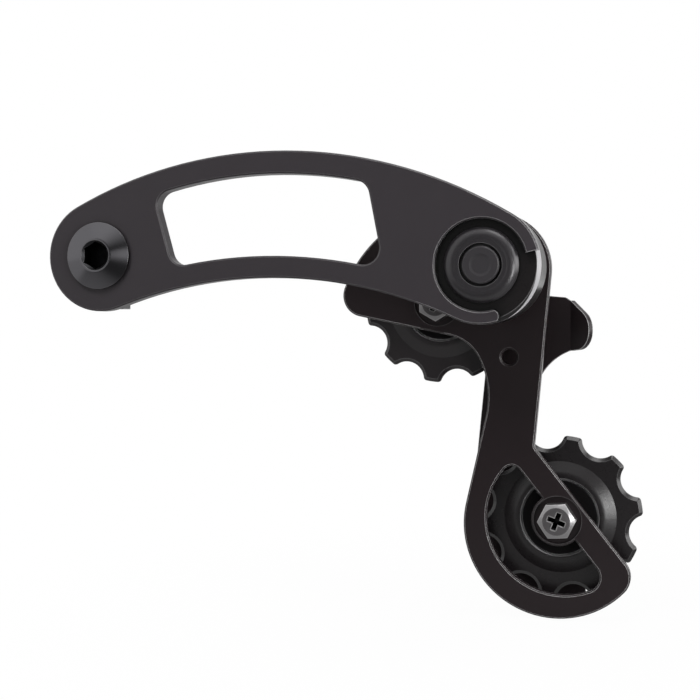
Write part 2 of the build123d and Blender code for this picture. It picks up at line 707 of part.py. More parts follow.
def make_cap(axle, side):
    """Dust cap between a plate and the bush: a hub with a thin flange, on side -1 or +1."""
    inner = SLEEVE_T / 2
    outer = PLATE_GAP / 2
    skirt_r = RING_BORE_R - BODY_GAP
    skirt = TOOTH_T / 2 + BODY_GAP
    profile = [
        (SCREW_HOLE_R, inner),
        (CAP_HUB_R, inner),
        (CAP_HUB_R, skirt),
        (skirt_r, skirt),
        (skirt_r, skirt + CAP_SKIRT_T),
        (CAP_HUB_R + CAP_SKIRT_T, skirt + CAP_SKIRT_T),
        (CAP_HUB_R + CAP_SKIRT_T, outer),
        (SCREW_HOLE_R, outer),
    ]
    return turned(axle, [(r, MID_Y + side * y) for r, y in profile])


def make_screw(axle, turn):
    """Hex-head screw with a cross recess, through both plates."""
    seat = OUTER_Y + EYE_COUNTERBORE_D
    top = seat - SCREW_HEAD_H
    corner_r = SCREW_AF / 2 / cos(radians(30))
    bevel = [(0, top), (SCREW_TOP_R, top), (corner_r, top + SCREW_BEVEL), (corner_r, seat), (0, seat)]
    hexagon = RegularPolygon(SCREW_AF / 2, 6, major_radius=False, rotation=turn)
    head = sheet(spot(axle) * hexagon, top, SCREW_HEAD_H) & turned(axle, bevel)
    cross = Rectangle(CROSS_L, CROSS_W) + Rectangle(CROSS_W, CROSS_L)
    head -= sheet(spot(axle) * Rot(0, 0, CROSS_TURN) * cross, top, CROSS_D)
    return head + disc(axle, seat, SCREW_R, INNER_BACK_Y + SCREW_TAIL - seat)


def make_parts():
    parts = {
        "arm": make_arm(),
        "hanger_bolt": make_hanger_bolt(),
        "stop_washer": make_stop_washer(),
        "hanger_circlip": make_hanger_circlip(),
        "pivot_bush": make_pivot_bush(),
        "pivot_axle": make_pivot_axle(),
        "retaining_clip": make_retaining_clip(),
        "torsion_spring": make_torsion_spring(),
        "spring_cup": make_spring_cup(),
        "stop_pin": make_stop_pin(),
        "cage_outer_plate": make_cage_outer_plate(),
        "cage_inner_plate": make_cage_inner_plate(),
    }
    wheels = {
        "guide": (GUIDE, GUIDE_PHASE, GUIDE_HEX_TURN),
        "tension": (TENSION, TENSION_PHASE, TENSION_HEX_TURN),
    }
    for name, (axle, phase, hex_turn) in wheels.items():
        parts[f"{name}_pulley"] = make_pulley(axle, phase)
        parts[f"{name}_bush"] = make_bush(axle)
        parts[f"{name}_cap_outer"] = make_cap(axle, -1)
        parts[f"{name}_cap_inner"] = make_cap(axle, 1)
        parts[f"{name}_screw"] = make_screw(axle, hex_turn)
    return parts


os.makedirs("parts", exist_ok=True)
for name, piece in make_parts().items():
    export_step(piece, f"parts/{name}.step")
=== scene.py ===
# %% [markdown]
# # A bicycle chain tensioner, dressed in Blender
#
# The part is a black machined arm that bolts to a bicycle frame, with a sprung cage of two plates
# and two toothed pulleys at its other end. Its solids come ready from CAD, at their true size and
# place, so this lesson is about looks: the few pieces whose fine detail a CAD source leaves out,
# the finishes, the light and the camera.

# %% Load the frame
import json
from math import cos, pi, radians, sin

import bpy
import bmesh
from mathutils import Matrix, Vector


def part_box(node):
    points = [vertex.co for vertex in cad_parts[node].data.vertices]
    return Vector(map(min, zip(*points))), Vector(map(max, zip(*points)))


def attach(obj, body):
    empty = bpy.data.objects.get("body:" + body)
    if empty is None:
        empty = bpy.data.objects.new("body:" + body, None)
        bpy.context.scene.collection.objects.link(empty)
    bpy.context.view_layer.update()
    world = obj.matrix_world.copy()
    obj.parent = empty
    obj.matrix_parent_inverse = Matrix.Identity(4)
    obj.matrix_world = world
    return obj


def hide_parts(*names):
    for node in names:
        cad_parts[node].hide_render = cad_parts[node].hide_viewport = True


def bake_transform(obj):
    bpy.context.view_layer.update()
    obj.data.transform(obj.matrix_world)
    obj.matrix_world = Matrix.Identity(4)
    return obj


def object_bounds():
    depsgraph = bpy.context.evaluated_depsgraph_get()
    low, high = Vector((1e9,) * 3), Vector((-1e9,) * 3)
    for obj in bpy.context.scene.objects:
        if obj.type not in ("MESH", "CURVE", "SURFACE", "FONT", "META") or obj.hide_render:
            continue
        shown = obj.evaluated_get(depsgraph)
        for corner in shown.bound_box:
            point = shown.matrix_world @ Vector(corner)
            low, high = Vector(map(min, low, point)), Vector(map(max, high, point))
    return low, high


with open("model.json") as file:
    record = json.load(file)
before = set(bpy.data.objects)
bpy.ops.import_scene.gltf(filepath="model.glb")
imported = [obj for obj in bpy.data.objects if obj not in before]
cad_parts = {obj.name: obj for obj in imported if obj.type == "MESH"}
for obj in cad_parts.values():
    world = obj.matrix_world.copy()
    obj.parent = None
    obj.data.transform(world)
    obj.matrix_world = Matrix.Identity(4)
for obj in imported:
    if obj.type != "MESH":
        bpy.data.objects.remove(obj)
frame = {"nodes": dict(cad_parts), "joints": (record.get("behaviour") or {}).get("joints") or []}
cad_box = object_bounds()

MM = 0.001
nodes = frame["nodes"]

# %% [markdown]
# ## Where things are
#
# Every pattern that goes round an axle needs to know where that axle is. The joints in the packed
# record hold those places, so they are read from there, and a change of the CAD moves the finishes
# with it.

# %% Places of the axles
joint_places = {joint["name"]: Vector(joint["pos_m"]) for joint in frame["joints"]}
HANGER = joint_places["hanger_bolt_spin"]
PIVOT = joint_places["cage_swing"]
GUIDE = joint_places["guide_pulley_spin"]
TENSION = joint_places["tension_pulley_spin"]
print("axles in mm:", [[round(c / MM, 2) for c in place] for place in (HANGER, PIVOT, GUIDE, TENSION)])

# %% [markdown]
# ## Camera
#
# The reference view looks at the outer face a little from the right, almost level. A camera is
# three choices: where it aims, from which angle, and how far away it stands, because the distance
# sets the perspective. The angles go straight into the camera's rotation, so nothing has to track a
# target.

# %% Camera
AIM = Vector((63.27, -6.4, -22.73)) * MM
AZIMUTH = radians(15.0)
ELEVATION = radians(0.8)
DISTANCE = 300.96 * MM
LENS = 66.857
SENSOR = 36.0
NEAR_CLIP = 0.01
back = Vector((sin(AZIMUTH) * cos(ELEVATION), -cos(AZIMUTH) * cos(ELEVATION), sin(ELEVATION)))
bpy.ops.object.select_all(action="DESELECT")
bpy.ops.object.camera_add(location=AIM + back * DISTANCE, rotation=(pi / 2 - ELEVATION, 0, AZIMUTH))
camera = bpy.context.object
camera.name = "camera"
camera.data.lens = LENS
camera.data.sensor_width = SENSOR
camera.data.clip_start = NEAR_CLIP
bpy.context.scene.camera = camera
bpy.context.scene.view_settings.view_transform = "Standard"
print("camera stands at", [round(c, 4) for c in camera.location])

# %% [markdown]
# ## Tools for turned pieces
#
# A lathe makes most small metal pieces. By hand in Blender that is a filled circle that is extruded
# along its axis and scaled, step after step down the profile. The helpers below do those steps, and
# one more picks ring edges by their place so that the bevel tool can round them.

# %% Turning helpers
SIDES = 96
RING_SLACK = 0.02
SMOOTH_ANGLE = radians(30)


def only(obj):
    """Make one object the only selected one, and the active one."""
    bpy.ops.object.select_all(action="DESELECT")
    obj.select_set(True)
    bpy.context.view_layer.objects.active = obj


def turn_piece(name, axis, stations, sides=SIDES, turn=0.0):
    """Extrude and scale a circle through (radius, y) stations in millimetres, along +Y."""
    radius, y = stations[0]
    bpy.ops.object.select_all(action="DESELECT")
    place = (axis.x, y * MM, axis.z)
    bpy.ops.mesh.primitive_circle_add(
        vertices=sides, radius=radius * MM, fill_type="NGON", location=place, rotation=(pi / 2, turn, 0)
    )
    piece = bpy.context.object
    piece.name = name
    bpy.ops.object.transform_apply(location=True, rotation=True, scale=True)
    bpy.ops.object.mode_set(mode="EDIT")
    bpy.ops.mesh.select_all(action="SELECT")
    for next_radius, next_y in stations[1:]:
        bpy.ops.mesh.extrude_region_move(TRANSFORM_OT_translate={"value": (0, (next_y - y) * MM, 0)})
        ratio = next_radius / radius
        centre = (axis.x, next_y * MM, axis.z)
        bpy.ops.transform.resize(value=(ratio, 1, ratio), center_override=centre)
        radius, y = next_radius, next_y
    bpy.ops.mesh.select_all(action="SELECT")
    bpy.ops.mesh.normals_make_consistent(inside=False)
    bpy.ops.object.mode_set(mode="OBJECT")
    return piece


def round_rings(piece, axis, rings, size, segments=3):
    """Bevel the ring edges at the given (radius, y) places, in millimetres."""
    only(piece)
    bpy.ops.object.mode_set(mode="EDIT")
    bpy.ops.mesh.select_mode(type="EDGE")
    bpy.ops.mesh.select_all(action="DESELECT")
    mesh = bmesh.from_edit_mesh(piece.data)
    for edge in mesh.edges:
        spots = []
        for vertex in edge.verts:
            radius = Vector((vertex.co.x - axis.x, vertex.co.z - axis.z)).length / MM
            spots.append((radius, vertex.co.y / MM))
        edge.select_set(any(
            all(abs(r - ring_r) < RING_SLACK and abs(y - ring_y) < RING_SLACK for r, y in spots)
            for ring_r, ring_y in rings
        ))
    bmesh.update_edit_mesh(piece.data)
    bpy.ops.mesh.bevel(offset=size * MM, segments=segments, affect="EDGES")
    bpy.ops.object.mode_set(mode="OBJECT")


def combine(piece, tool, operation):
    """Boolean one closed mesh with another, and throw the tool away."""
    only(piece)
    modifier = piece.modifiers.new(operation.lower(), "BOOLEAN")
    modifier.operation = operation
    modifier.solver = "EXACT"
    modifier.object = tool
    bpy.ops.object.modifier_apply(modifier=modifier.name)
    bpy.data.objects.remove(tool)


print("turning tools ready, with", SIDES, "sides to a circle")

# %% [markdown]
# ## A thread
#
# The CAD source leaves its threads as plain cylinders. A thread is one small triangle carried round
# the axis and along it at the same time, which is what the Screw modifier does. The open ends of
# the ridge are filled, the ridge is joined to a core at the root radius, and the whole is cut to a
# blank with a chamfered end.

# %% Thread helper
THREAD_STEPS = 40
FLANK_SHARE = 0.46
RIDGE_SINK = 0.08
TIP_DROP = 0.1
BLANK_ROOM = 0.02


def threaded_rod(name, axis, crest, root, pitch, start, end, chamfer):
    """Thread along Y from start to end, all in millimetres."""
    turns = int((end - start) / pitch) + 2
    bpy.ops.object.select_all(action="DESELECT")
    bpy.ops.mesh.primitive_circle_add(vertices=3, radius=MM, fill_type="NOTHING")
    ridge = bpy.context.object
    half = FLANK_SHARE * pitch
    first = start - pitch
    foot = root - RIDGE_SINK
    corners = [(foot, first - half), (crest, first), (foot, first + half)]
    for vertex, (radius, y) in zip(ridge.data.vertices, corners):
        vertex.co = (radius * MM, y * MM, 0)
    screw = ridge.modifiers.new("turns", "SCREW")
    screw.axis = "Y"
    screw.screw_offset = pitch * MM
    screw.iterations = turns
    screw.steps = THREAD_STEPS
    screw.render_steps = THREAD_STEPS
    bpy.ops.object.modifier_apply(modifier=screw.name)
    bpy.ops.object.mode_set(mode="EDIT")
    bpy.ops.mesh.select_all(action="DESELECT")
    bpy.ops.mesh.select_mode(type="EDGE")
    bpy.ops.mesh.select_non_manifold()
    bpy.ops.mesh.fill_holes(sides=0)
    bpy.ops.mesh.select_all(action="SELECT")
    bpy.ops.mesh.normals_make_consistent(inside=False)
    bpy.ops.object.mode_set(mode="OBJECT")
    ridge.location = (axis.x, 0, axis.z)
    bpy.ops.object.transform_apply(location=True, rotation=True, scale=True)
    rod = turn_piece(name, axis, [(root, start - 3 * pitch), (root, end + 3 * pitch)])
    combine(rod, ridge, "UNION")
    wide = crest + BLANK_ROOM
    blank = [(wide, start), (wide, end - chamfer), (root - TIP_DROP, end)]
    combine(rod, turn_piece("blank", axis, blank), "INTERSECT")
    return rod


print("thread helper ready")

# %% [markdown]
# ## Hanger bolt
#
# The bolt that holds the part to the bicycle has a cone for a head, with a six-sided socket, and an
# M10 thread of 1 mm pitch behind. The head is turned, the socket is cut with a six-sided prism and
# a shallow cone that breaks its rim, and the thread is joined on. The finished bolt stands in for
# the plain CAD one.

# %% Hanger bolt
bolt_low, bolt_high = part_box("hanger_bolt")
HEAD_Y = bolt_low.y / MM
THREAD_END = bolt_high.y / MM
HEAD_R = bolt_high.x / MM
HEAD_H = 2.6
HEAD_TOP_R = 4.1
HEAD_LIP = 0.95
UNDERCUT_H = 0.75
UNDERCUT_R = 7.3
SHOULDER_R = 5.7
CLIP_GROOVE_R = 5.4
CLIP_GROOVE = (-1.05, -0.3)
CORE_R = 4.4
TOP_ROUND = 0.12
SOCKET_FLATS = 6.0
SOCKET_D = 4.35
SOCKET_TIP_R = 0.3
SOCKET_TIP_D = 5.2
SOCKET_RIM = [(4.35, -0.7), (2.7, 0.95)]
CUT_ROOM = 1.0
THREAD_R = 5.0
THREAD_ROOT_R = 4.43
THREAD_PITCH = 1.0
THREAD_OVERLAP = 0.05
THREAD_CHAMFER = 0.8
face_y = HEAD_Y + HEAD_H
profile = [
    (HEAD_TOP_R, HEAD_Y),
    (HEAD_R, face_y - HEAD_LIP),
    (HEAD_R, face_y - UNDERCUT_H),
    (UNDERCUT_R, face_y - UNDERCUT_H),
    (UNDERCUT_R, face_y),
    (SHOULDER_R, face_y),
    (SHOULDER_R, CLIP_GROOVE[0]),
    (CLIP_GROOVE_R, CLIP_GROOVE[0]),
    (CLIP_GROOVE_R, CLIP_GROOVE[1]),
    (SHOULDER_R, CLIP_GROOVE[1]),
    (SHOULDER_R, 0),
    (CORE_R, 0),
]
bolt = turn_piece("hanger_bolt_dressed", HANGER, profile)
round_rings(bolt, HANGER, [(HEAD_TOP_R, HEAD_Y)], TOP_ROUND)
socket_r = SOCKET_FLATS / 2 / cos(pi / 6)
socket_profile = [
    (socket_r, HEAD_Y - CUT_ROOM),
    (socket_r, HEAD_Y + SOCKET_D),
    (SOCKET_TIP_R, HEAD_Y + SOCKET_TIP_D),
]
socket = turn_piece("socket", HANGER, socket_profile, 6)
combine(bolt, socket, "DIFFERENCE")
rim = turn_piece("socket_rim", HANGER, [(radius, HEAD_Y + depth) for radius, depth in SOCKET_RIM])
combine(bolt, rim, "DIFFERENCE")
rod = threaded_rod(
    "rod", HANGER, THREAD_R, THREAD_ROOT_R, THREAD_PITCH, -THREAD_OVERLAP, THREAD_END, THREAD_CHAMFER
)
combine(bolt, rod, "UNION")
only(bolt)
bpy.ops.object.shade_smooth_by_angle(angle=SMOOTH_ANGLE)
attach(bolt, "hanger_bolt")
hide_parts("hanger_bolt")
print("hanger bolt faces:", len(bolt.data.polygons))

# %% [markdown]
# ## Pulley screws
#
# Each pulley turns on an M5 screw with a six-sided head and a cross recess. The six corners of such
# a head are cut back by a cone, which gives the curved light line on each flat, so a hexagonal
# prism is intersected with a turned blank. The recess is a cross of two bars that taper towards
# their bottom. One screw is modelled for each pulley, because the two heads stand at different
# turns.

# %% Screw helper
SCREW_FLATS = 8.0
SCREW_HEAD_H = 3.8
SCREW_R = 2.5
SCREW_ROOT_R = 2.1
SCREW_PITCH = 0.8
SCREW_CHAMFER = 0.35
SHANK_OVERLAP = 0.1
FACE_R = 3.25
FACE_ROUND_R = 3.35
FACE_ROUND_H = 0.04
CORNER_DROP = 0.75
BAR_L = 4.9
BAR_W = 1.25
BAR_D = 2.6
BAR_ROOM = 0.5
BAR_DRAW_IN = (0.3, 1, 0.5)
CROSS_TURN = 70.0
GUIDE_CORNER = 30.0
TENSION_CORNER = 3.6


def tapered_bar(axis, top, turn):
    """Bar of the cross recess: a box whose far end is drawn in, turned about the screw's axis."""
    bpy.ops.object.select_all(action="DESELECT")
    length = BAR_D + BAR_ROOM
    place = (axis.x, (top - BAR_ROOM + length / 2) * MM, axis.z)
    bpy.ops.mesh.primitive_cube_add(size=1, location=place)
    bar = bpy.context.object
    bar.scale = (BAR_L * MM, length * MM, BAR_W * MM)
    bpy.ops.object.transform_apply(location=False, rotation=False, scale=True)
    bpy.ops.object.mode_set(mode="EDIT")
    bpy.ops.mesh.select_mode(type="FACE")
    bpy.ops.mesh.select_all(action="DESELECT")
    mesh = bmesh.from_edit_mesh(bar.data)
    for face in mesh.faces:
        face.select_set(face.normal.y > 0.9)
    bmesh.update_edit_mesh(bar.data)
    bpy.ops.transform.resize(value=BAR_DRAW_IN, center_override=place)
    bpy.ops.object.mode_set(mode="OBJECT")
    bar.rotation_euler = (0, -radians(turn), 0)
    bpy.ops.object.transform_apply(location=True, rotation=True, scale=True)
    return bar


def pulley_screw(name, node, axis, corner_angle):
    """Screw whose head has a corner at corner_angle degrees, counted from +X towards +Z."""
    low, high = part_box(node)
    top = low.y / MM
    seat = top + SCREW_HEAD_H
    corner = SCREW_FLATS / 2 / cos(pi / 6)
    head = turn_piece(name, axis, [(corner, top), (corner, seat)], 6, turn=radians(90 - corner_angle))
    blank_profile = [
        (FACE_R, top),
        (FACE_ROUND_R, top + FACE_ROUND_H),
        (corner, top + CORNER_DROP),
        (corner + BLANK_ROOM, seat),
    ]
    blank = turn_piece("blank", axis, blank_profile)
    combine(head, blank, "INTERSECT")
    for bar_turn in (CROSS_TURN, CROSS_TURN + 90):
        combine(head, tapered_bar(axis, top, bar_turn), "DIFFERENCE")
    start, end = seat - SHANK_OVERLAP, high.y / MM
    shank = threaded_rod("shank", axis, SCREW_R, SCREW_ROOT_R, SCREW_PITCH, start, end, SCREW_CHAMFER)
    combine(head, shank, "UNION")
    only(head)
    bpy.ops.object.shade_smooth_by_angle(angle=SMOOTH_ANGLE)
    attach(head, "cage")
    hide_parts(node)
    return head


screws = [
    pulley_screw("guide_screw_dressed", "guide_screw", GUIDE, GUIDE_CORNER),
    pulley_screw("tension_screw_dressed", "tension_screw", TENSION, TENSION_CORNER),
]
print("screw faces:", [len(screw.data.polygons) for screw in screws])

# %% [markdown]
# ## Torsion spring
#
# The coil in the housing has one leg in the arm and the other in the cage, and a rigid copy would
# cut through the cup as the cage swings. The shape from CAD is right, so its mesh is copied, its
# loose triangles are merged, and the copy is shaded smooth and shown in place of the CAD one; it is
# not joined to either body.

# %% Torsion spring
MERGE_DISTANCE = 0.001
spring = bpy.data.objects.new("torsion_spring_wound", nodes["torsion_spring"].data.copy())
bpy.context.scene.collection.objects.link(spring)
only(spring)
bpy.ops.object.mode_set(mode="EDIT")
bpy.ops.mesh.select_all(action="SELECT")
bpy.ops.mesh.remove_doubles(threshold=MERGE_DISTANCE * MM)
bpy.ops.object.mode_set(mode="OBJECT")
bpy.ops.object.shade_smooth_by_angle(angle=SMOOTH_ANGLE)
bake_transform(spring)
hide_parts("torsion_spring")
print("spring faces:", len(spring.data.polygons))

# %% [markdown]
# ## Shared effects for the finishes
#
# The finishes share a few effects: a fine grain, rings from the lathe, light edges that are partly
# black worn thin and partly painted highlight, painted shade where a surface is closed in, and round
# pockets with a colour and roughness of their own. The pockets mark faces that a cutter has left
# smoother, and carry painted shade in some finishes and a painted highlight in others. Each effect is
# a node group with named sockets, built once, so that each finish can place it with its own values.
# Edges could be found by the Pointiness of a dense mesh, but CAD meshes are coarse on flat faces, so
# ambient occlusion looks for them instead: from inside the metal for edges, from outside for the
# corners that get painted shade.

# %% Node helpers


def add(tree, kind, **values):
    """New node, with input sockets set by name (spaces written as underscores)."""
    node = tree.nodes.new(kind)
    for key, value in values.items():
        if hasattr(node, key):
            setattr(node, key, value)
        else:
            node.inputs[key.replace("_", " ")].default_value = value
    return node


def math(tree, operation, a, b=None):
    """Math node whose inputs are sockets or numbers."""
    node = tree.nodes.new("ShaderNodeMath")
    node.operation = operation
    for socket, value in zip(node.inputs, (a, b)):
        if value is None:
            continue
        if isinstance(value, (int, float)):
            socket.default_value = value
        else:
            tree.links.new(value, socket)
    return node.outputs[0]


def new_group(name, inputs, outputs):
    """Empty shader node group with named sockets, and its input and output nodes."""
    group = bpy.data.node_groups.new(name, "ShaderNodeTree")
    for label, kind, value in inputs:
        socket = group.interface.new_socket(label, in_out="INPUT", socket_type=kind)
        if value is not None:
            socket.default_value = value
    for label, kind in outputs:
        group.interface.new_socket(label, in_out="OUTPUT", socket_type=kind)
    return group, group.nodes.new("NodeGroupInput"), group.nodes.new("NodeGroupOutput")


print("node helpers ready")

# %% Fine grain group
VECTOR, FLOAT = "NodeSocketVector", "NodeSocketFloat"
grain_group, g_in, g_out = new_group(
    "fine_grain",
    [("Vector", VECTOR, None), ("Grain Size", FLOAT, 0.0003), ("Cloud Size", FLOAT, 0.012)],
    [("Grain", FLOAT), ("Cloud", FLOAT)],
)
for label, size_name, detail in (("Grain", "Grain Size", 3.0), ("Cloud", "Cloud Size", 2.0)):
    scale = math(grain_group, "DIVIDE", 1.0, g_in.outputs[size_name])
    noise = add(grain_group, "ShaderNodeTexNoise", Detail=detail, Roughness=0.6)
    grain_group.links.new(g_in.outputs["Vector"], noise.inputs["Vector"])
    grain_group.links.new(scale, noise.inputs["Scale"])
    grain_group.links.new(noise.outputs["Fac"], g_out.inputs[label])
print("group:", grain_group.name, [item.name for item in grain_group.interface.items_tree])

# %% Lathe rings group


def axle_distance(group, g_in, shift_x=0.0, shift_z=0.0):
    """Distance of the group's Vector from the Y axis, or from a line beside that axis."""
    split = add(group, "ShaderNodeSeparateXYZ")
    group.links.new(g_in.outputs["Vector"], split.inputs[0])
    x = math(group, "ADD", split.outputs["X"], shift_x)
    z = math(group, "ADD", split.outputs["Z"], shift_z)
    squares = math(group, "ADD", math(group, "MULTIPLY", x, x), math(group, "MULTIPLY", z, z))
    return math(group, "SQRT", squares)


ring_group, g_in, g_out = new_group(
    "lathe_rings",
    [("Vector", VECTOR, None), ("Spacing", FLOAT, 0.00025)],
    [("Rings", FLOAT)],
)
split = add(ring_group, "ShaderNodeSeparateXYZ")
ring_group.links.new(g_in.outputs["Vector"], split.inputs[0])
reach = math(ring_group, "ADD", axle_distance(ring_group, g_in), split.outputs["Y"])
steps = math(ring_group, "DIVIDE", reach, g_in.outputs["Spacing"])
ring_noise = add(ring_group, "ShaderNodeTexNoise", noise_dimensions="1D", Scale=1.0, Detail=2.0)
ring_group.links.new(steps, ring_noise.inputs["W"])
ring_group.links.new(ring_noise.outputs["Fac"], g_out.inputs["Rings"])
print("group:", ring_group.name)

# %% Round spot group
spot_group, g_in, g_out = new_group(
    "round_spot",
    [("Vector", VECTOR, None), ("Radius", FLOAT, 0.005)],
    [("Spot", FLOAT)],
)
inside = math(spot_group, "LESS_THAN", axle_distance(spot_group, g_in), g_in.outputs["Radius"])
spot_group.links.new(inside, g_out.inputs["Spot"])
print("group:", spot_group.name)

# %% Worn and highlit edges group
# Light edges: partly black worn thin, partly painted highlight where chamfers would catch the light.
edge_group, g_in, g_out = new_group(
    "worn_and_highlit_edges",
    [("Vector", VECTOR, None), ("Width", FLOAT, 0.0003), ("Softness", FLOAT, 0.12)],
    [("Edge", FLOAT), ("Normal", VECTOR)],
)
rounded = add(edge_group, "ShaderNodeBevel", samples=6)
edge_group.links.new(math(edge_group, "MULTIPLY", g_in.outputs["Width"], 0.5), rounded.inputs["Radius"])
behind = add(edge_group, "ShaderNodeAmbientOcclusion", samples=8, inside=True, only_local=True)
edge_group.links.new(g_in.outputs["Width"], behind.inputs["Distance"])
thin = math(edge_group, "SUBTRACT", 1.0, behind.outputs["AO"])
patch = add(edge_group, "ShaderNodeTexNoise", Scale=700.0, Detail=2.0)
edge_group.links.new(g_in.outputs["Vector"], patch.inputs["Vector"])
uneven = math(edge_group, "MULTIPLY", thin, math(edge_group, "ADD", patch.outputs["Fac"], 0.5))
edge = math(edge_group, "DIVIDE", uneven, g_in.outputs["Softness"])
edge_group.links.new(math(edge_group, "MINIMUM", edge, 1.0), g_out.inputs["Edge"])
edge_group.links.new(rounded.outputs["Normal"], g_out.inputs["Normal"])
print("group:", edge_group.name)

# %% Painted shade groups


def painted_shade_group(name, own_shape_only):
    """Painted shade where a surface is closed in, by its own piece alone or by its neighbours as well."""
    inputs = [("Vector", VECTOR, None), ("Reach", FLOAT, 0.0015)]
    group, g_in, g_out = new_group(name, inputs, [("Corner Shade", FLOAT)])
    open_sky = add(group, "ShaderNodeAmbientOcclusion", samples=8, only_local=own_shape_only)
    group.links.new(g_in.outputs["Reach"], open_sky.inputs["Distance"])
    shade_mottle = add(group, "ShaderNodeTexNoise", Scale=500.0, Detail=2.0)
    group.links.new(g_in.outputs["Vector"], shade_mottle.inputs["Vector"])
    closed = math(group, "SUBTRACT", 1.0, open_sky.outputs["AO"])
    shade = math(group, "MULTIPLY", closed, math(group, "ADD", shade_mottle.outputs["Fac"], 1.6))
    group.links.new(math(group, "MINIMUM", shade, 1.0), g_out.inputs["Corner Shade"])
    return group


# Painted shade: corners darken by a piece's own shape, contacts by its neighbours as well.
corner_shade_group = painted_shade_group("painted_shade_corners", True)
contact_shade_group = painted_shade_group("painted_shade_contacts", False)
print("groups:", corner_shade_group.name, contact_shade_group.name)

# %% Turned pocket group


def between(group, value, low, high):
    """1 where a value lies between two others, and 0 elsewhere."""
    above = math(group, "GREATER_THAN", value, low)
    return math(group, "MULTIPLY", above, math(group, "LESS_THAN", value, high))


# The Rim output is a crescent on a pocket's edge, shifted sideways, where a finish paints a highlight.
HIGHLIGHT_SHIFT_X = 0.00106
HIGHLIGHT_SHIFT_Z = 0.00035
pocket_group, g_in, g_out = new_group(
    "turned_pocket",
    [
        ("Vector", VECTOR, None),
        ("Radius", FLOAT, 0.0136),
        ("Front", FLOAT, -1.0),
        ("Back", FLOAT, 1.0),
        ("Rim Front", FLOAT, -0.00468),
        ("Rim Back", FLOAT, -0.00375),
        ("Rim Radius", FLOAT, 0.01366),
    ],
    [("Pocket", FLOAT), ("Rim", FLOAT)],
)
split = add(pocket_group, "ShaderNodeSeparateXYZ")
pocket_group.links.new(g_in.outputs["Vector"], split.inputs[0])
depth = split.outputs["Y"]
near_axle = math(pocket_group, "LESS_THAN", axle_distance(pocket_group, g_in), g_in.outputs["Radius"])
deep = between(pocket_group, depth, g_in.outputs["Front"], g_in.outputs["Back"])
pocket_group.links.new(math(pocket_group, "MULTIPLY", near_axle, deep), g_out.inputs["Pocket"])
outward = axle_distance(pocket_group, g_in, HIGHLIGHT_SHIFT_X, HIGHLIGHT_SHIFT_Z)
rim = math(pocket_group, "GREATER_THAN", outward, g_in.outputs["Rim Radius"])
on_rim = between(pocket_group, depth, g_in.outputs["Rim Front"], g_in.outputs["Rim Back"])
rim = math(pocket_group, "MULTIPLY", rim, on_rim)
pocket_group.links.new(math(pocket_group, "MULTIPLY", rim, near_axle), g_out.inputs["Rim"])
print("group:", pocket_group.name)

# %% [markdown]
# ## Finishes
#
# All the black parts look alike at first, but they aren't: the arm is blasted and anodised, the
# plates have a smooth satin coat, the pulleys are moulded, and the bolts are turned. One function
# builds a finish from a base colour, a light colour for edges, roughness, and the shares of grain
# and rings; the light edges are partly black worn thin and partly painted highlight. Rings and
# pockets are centred on a piece's own axle by a Mapping node. The edge light can be painted
# stronger or weaker in round spots: weaker round the screw seats and the plate's hole, stronger
# round the pivot's recess.

# %% Finish builder


def place_group(tree, group, vector, **values):
    """Node that uses a group at a vector, with input sockets set by name."""
    node = tree.nodes.new("ShaderNodeGroup")
    node.node_tree = group
    tree.links.new(vector, node.inputs["Vector"])
    for key, value in values.items():
        node.inputs[key.replace("_", " ")].default_value = value
    return node


def blend_colour(tree, share, a, b):
    """Colour that goes from a to b as the share goes from 0 to 1."""
    mix = tree.nodes.new("ShaderNodeMix")
    mix.data_type = "RGBA"
    tree.links.new(share, mix.inputs["Factor"])
    sockets = [s for s in mix.inputs if s.type == "RGBA"]
    for socket, value in zip(sockets, (a, b)):
        if isinstance(value, tuple):
            socket.default_value = (*value, 1.0)
        else:
            tree.links.new(value, socket)
    return [s for s in mix.outputs if s.type == "RGBA"][0]


